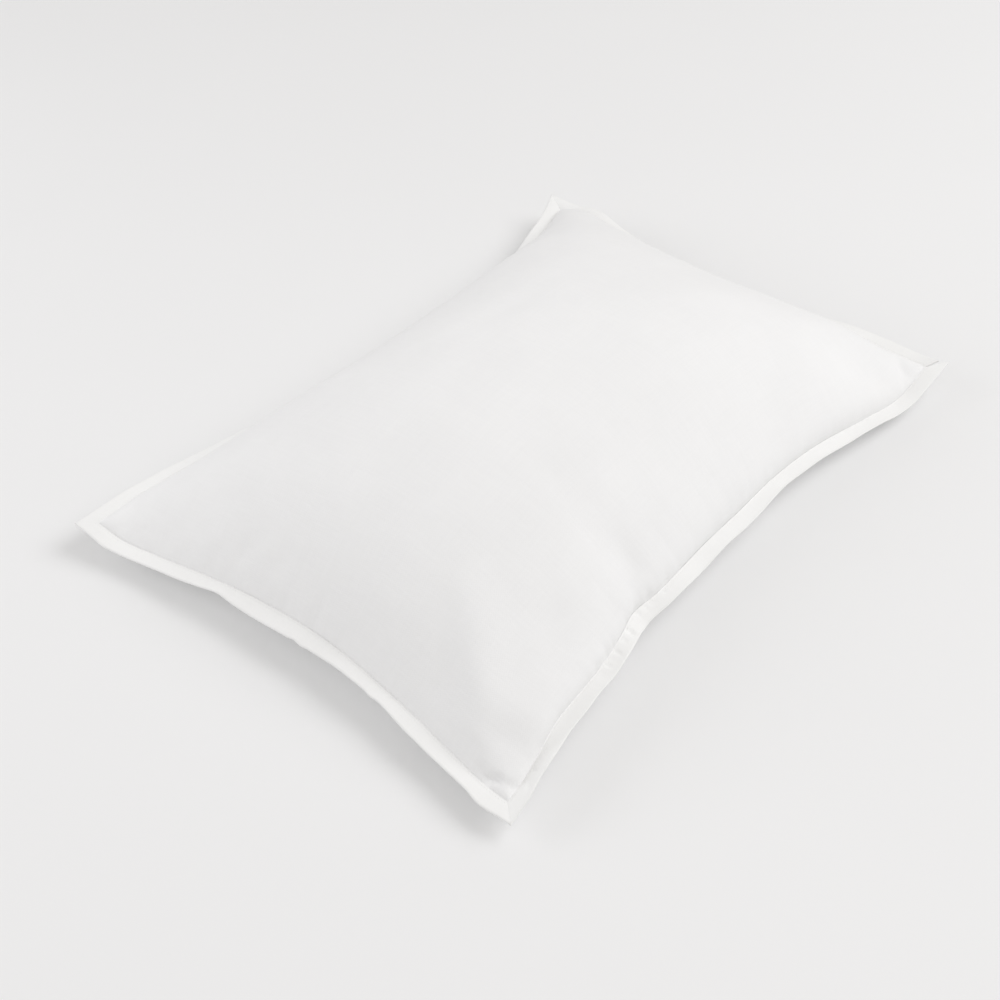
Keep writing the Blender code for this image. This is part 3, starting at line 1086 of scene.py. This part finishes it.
def sew_side(side):
    """Both rows of one side, joined into one object."""
    rows = [sew_row(side, layer) for layer in (1, -1)]
    select_only(rows[0])
    rows[1].select_set(True)
    bpy.ops.object.join()
    rows[0].name = f"{side.name}_stitches"
    return rows[0]


stitches = {side.name: sew_side(side) for side in SIDES}
bpy.data.objects.remove(stitch)
print("stitches:", {name: len(sewn.data.polygons) for name, sewn in stitches.items()}, "faces")

# %% [markdown]
# ## The cotton
#
# Percale is a close plain weave of combed cotton: matt, crisp and very smooth. Close
# by, the eye finds the crossing threads, a few thicker threads that run as faint
# streaks both ways, and a soft crumple from washing. All of them are procedural and
# ride on the place of each point on the flat panel, so the weave follows the cloth and
# isn't stretched over the crown. An image would need UVs and would repeat.

# %% Streaks and weave
THREAD_PITCH = 1.1 * MM  # coarse enough to show: real threads lie 0.3 mm apart
STREAK_WIDTH = 1.8 * MM
STREAK_LENGTH = 45 * MM


def streak_noise(tree, place, along_x):
    """Noise that is drawn out along the warp or along the weft, as thick threads are."""
    long, short = 1 / STREAK_LENGTH, 1 / STREAK_WIDTH
    scale = (long, short, 1.0) if along_x else (short, long, 1.0)
    stretched = add_node(tree, "ShaderNodeMapping", {"Scale": scale}, {"Vector": place})
    return add_node(
        tree,
        "ShaderNodeTexNoise",
        {"Scale": 1.0, "Detail": 2.0},
        {"Vector": stretched.outputs["Vector"]},
    ).outputs["Fac"]


def weave_height(tree, place):
    """The crossing threads of a plain weave: a small hump where each passes over another."""
    split = add_node(tree, "ShaderNodeSeparateXYZ", links={"Vector": place})
    waves = []
    for axis in "XY":
        turns = add_node(
            tree,
            "ShaderNodeMath",
            {"operation": "MULTIPLY", 1: math.pi / THREAD_PITCH},
            {0: split.outputs[axis]},
        )
        wave = add_node(tree, "ShaderNodeMath", {"operation": "SINE"}, {0: turns.outputs[0]})
        waves.append(wave.outputs[0])
    return add_node(
        tree, "ShaderNodeMath", {"operation": "MULTIPLY"}, {0: waves[0], 1: waves[1]}
    ).outputs[0]


print("threads:", round(10 * MM / THREAD_PITCH, 1), "to a centimetre")

# %% Cotton percale
CRUMPLE_SIZE = 15 * MM
CLOUD_SIZE = 70 * MM
STREAK_WEIGHT = 0.5  # beside the clouds, in the colour
WEAVE_WEIGHT = 0.35  # beside the streaks, in the fine bump


def cotton(name, white, shade, crumple_depth):
    """A cotton material: its white, and the slightly duller shade of its clouds and streaks."""
    material, tree, shader = new_material(name)
    place = add_node(tree, "ShaderNodeAttribute", {"attribute_name": "flat_place"}).outputs["Vector"]
    warp = streak_noise(tree, place, along_x=False)
    weft = streak_noise(tree, place, along_x=True)
    streaks = add_node(tree, "ShaderNodeMath", {"operation": "ADD"}, {0: warp, 1: weft}).outputs[0]
    cloud = add_node(
        tree, "ShaderNodeTexNoise", {"Scale": 1 / CLOUD_SIZE, "Detail": 4.0}, {"Vector": place}
    ).outputs["Fac"]
    dullness = add_node(
        tree, "ShaderNodeMath", {"operation": "MULTIPLY_ADD", 1: STREAK_WEIGHT}, {0: streaks, 2: cloud}
    ).outputs[0]
    blend = add_node(
        tree, "ShaderNodeMapRange", {"From Min": 0.6, "From Max": 1.4}, {"Value": dullness}
    ).outputs["Result"]
    colour = add_node(
        tree,
        "ShaderNodeMix",
        {"data_type": "RGBA", MIX_A: hex_colour(white), MIX_B: hex_colour(shade)},
        {"Factor": blend},
    ).outputs[MIX_RESULT]
    roughness = add_node(
        tree, "ShaderNodeMapRange", {"To Min": 0.80, "To Max": 0.98}, {"Value": warp}
    ).outputs["Result"]
    threads = add_node(
        tree,
        "ShaderNodeMath",
        {"operation": "MULTIPLY_ADD", 1: WEAVE_WEIGHT},
        {0: weave_height(tree, place), 2: streaks},
    ).outputs[0]
    crumple = add_node(
        tree,
        "ShaderNodeTexNoise",
        {"Scale": 1 / CRUMPLE_SIZE, "Detail": 5.0, "Roughness": 0.55, "Distortion": 0.6},
        {"Vector": place},
    ).outputs["Fac"]
    soft = add_node(tree, "ShaderNodeBump", {"Distance": crumple_depth}, {"Height": crumple})
    fine = add_node(
        tree,
        "ShaderNodeBump",
        {"Strength": 0.6, "Distance": 0.08 * MM},
        {"Height": threads, "Normal": soft.outputs["Normal"]},
    )
    tree.links.new(colour, shader.inputs["Base Color"])
    tree.links.new(roughness, shader.inputs["Roughness"])
    tree.links.new(fine.outputs["Normal"], shader.inputs["Normal"])
    shader.inputs["Specular IOR Level"].default_value = 0.25
    shader.inputs["Sheen Weight"].default_value = 0.12
    shader.inputs["Sheen Roughness"].default_value = 0.5
    return material


# Plain white percale over the filling: matt, with the faint cloudiness of washed cotton.
case_cotton = cotton("white cotton percale", "#f4f4f4", "#efefef", crumple_depth=0.30 * MM)
case.data.materials.append(case_cotton)
# The same cloth in four layers, which let less light through, so it looks a little whiter.
flange_cotton = cotton("white cotton percale, folded", "#f5f5f4", "#f1f1f0", crumple_depth=0.22 * MM)
for strip in strips.values():
    strip.data.materials.append(flange_cotton)
print("cotton:", case_cotton.name, "and", flange_cotton.name)

# %% [markdown]
# ## The thread
#
# White sewing thread is smoother than the cloth, so each stitch has a small soft
# highlight, and its plies wind round it in a fine twist. The twist is a wave that runs
# along the thread and round it, at the place that each point of a stitch carries. The
# same wave paints shade into the grooves between the plies and a highlight on their crests.

# %% Sewing thread
TWIST_PITCH = 0.7 * MM

# Twisted cotton thread: smoother than the cloth, with painted shade between its plies and painted
# highlights on them.
thread, thread_tree, thread_shader = new_material("white cotton sewing thread")
on_thread = add_node(thread_tree, "ShaderNodeAttribute", {"attribute_name": "thread_place"})
thread_split = add_node(
    thread_tree, "ShaderNodeSeparateXYZ", links={"Vector": on_thread.outputs["Vector"]}
)
thread_phase = add_node(
    thread_tree,
    "ShaderNodeMath",
    {"operation": "MULTIPLY_ADD", 1: math.tau / TWIST_PITCH},
    {0: thread_split.outputs["X"], 2: thread_split.outputs["Y"]},
)
twist = add_node(thread_tree, "ShaderNodeMath", {"operation": "SINE"}, {0: thread_phase.outputs[0]})
twist_bump = add_node(
    thread_tree, "ShaderNodeBump", {"Distance": 0.05 * MM}, {"Height": twist.outputs[0]}
)
# painted shade and highlight: the colour darkens in the grooves between the plies and lightens on
# their crests, with the same wave as the bump
ply_shade_share = add_node(
    thread_tree, "ShaderNodeMapRange", {"From Min": -1.0}, {"Value": twist.outputs[0]}
)
thread_colour_with_ply_shade = add_node(
    thread_tree,
    "ShaderNodeMix",
    {"data_type": "RGBA", MIX_A: hex_colour("#ececea"), MIX_B: hex_colour("#f8f8f7")},
    {"Factor": ply_shade_share.outputs["Result"]},
)
thread_tree.links.new(thread_colour_with_ply_shade.outputs[MIX_RESULT], thread_shader.inputs["Base Color"])
thread_tree.links.new(twist_bump.outputs["Normal"], thread_shader.inputs["Normal"])
thread_shader.inputs["Roughness"].default_value = 0.55
for sewn in stitches.values():
    sewn.data.materials.append(thread)
print("thread:", thread.name)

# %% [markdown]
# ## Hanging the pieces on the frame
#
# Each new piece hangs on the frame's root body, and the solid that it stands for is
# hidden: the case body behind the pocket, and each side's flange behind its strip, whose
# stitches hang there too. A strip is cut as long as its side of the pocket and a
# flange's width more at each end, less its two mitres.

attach(case, "root")
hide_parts("case_body")
for side in SIDES:
    strip = strips[side.name]
    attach(strip, "root")
    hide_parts(f"flange_{side.name}")
    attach(stitches[side.name], "root")

print("declared:", 1 + 2 * len(SIDES), "pieces")
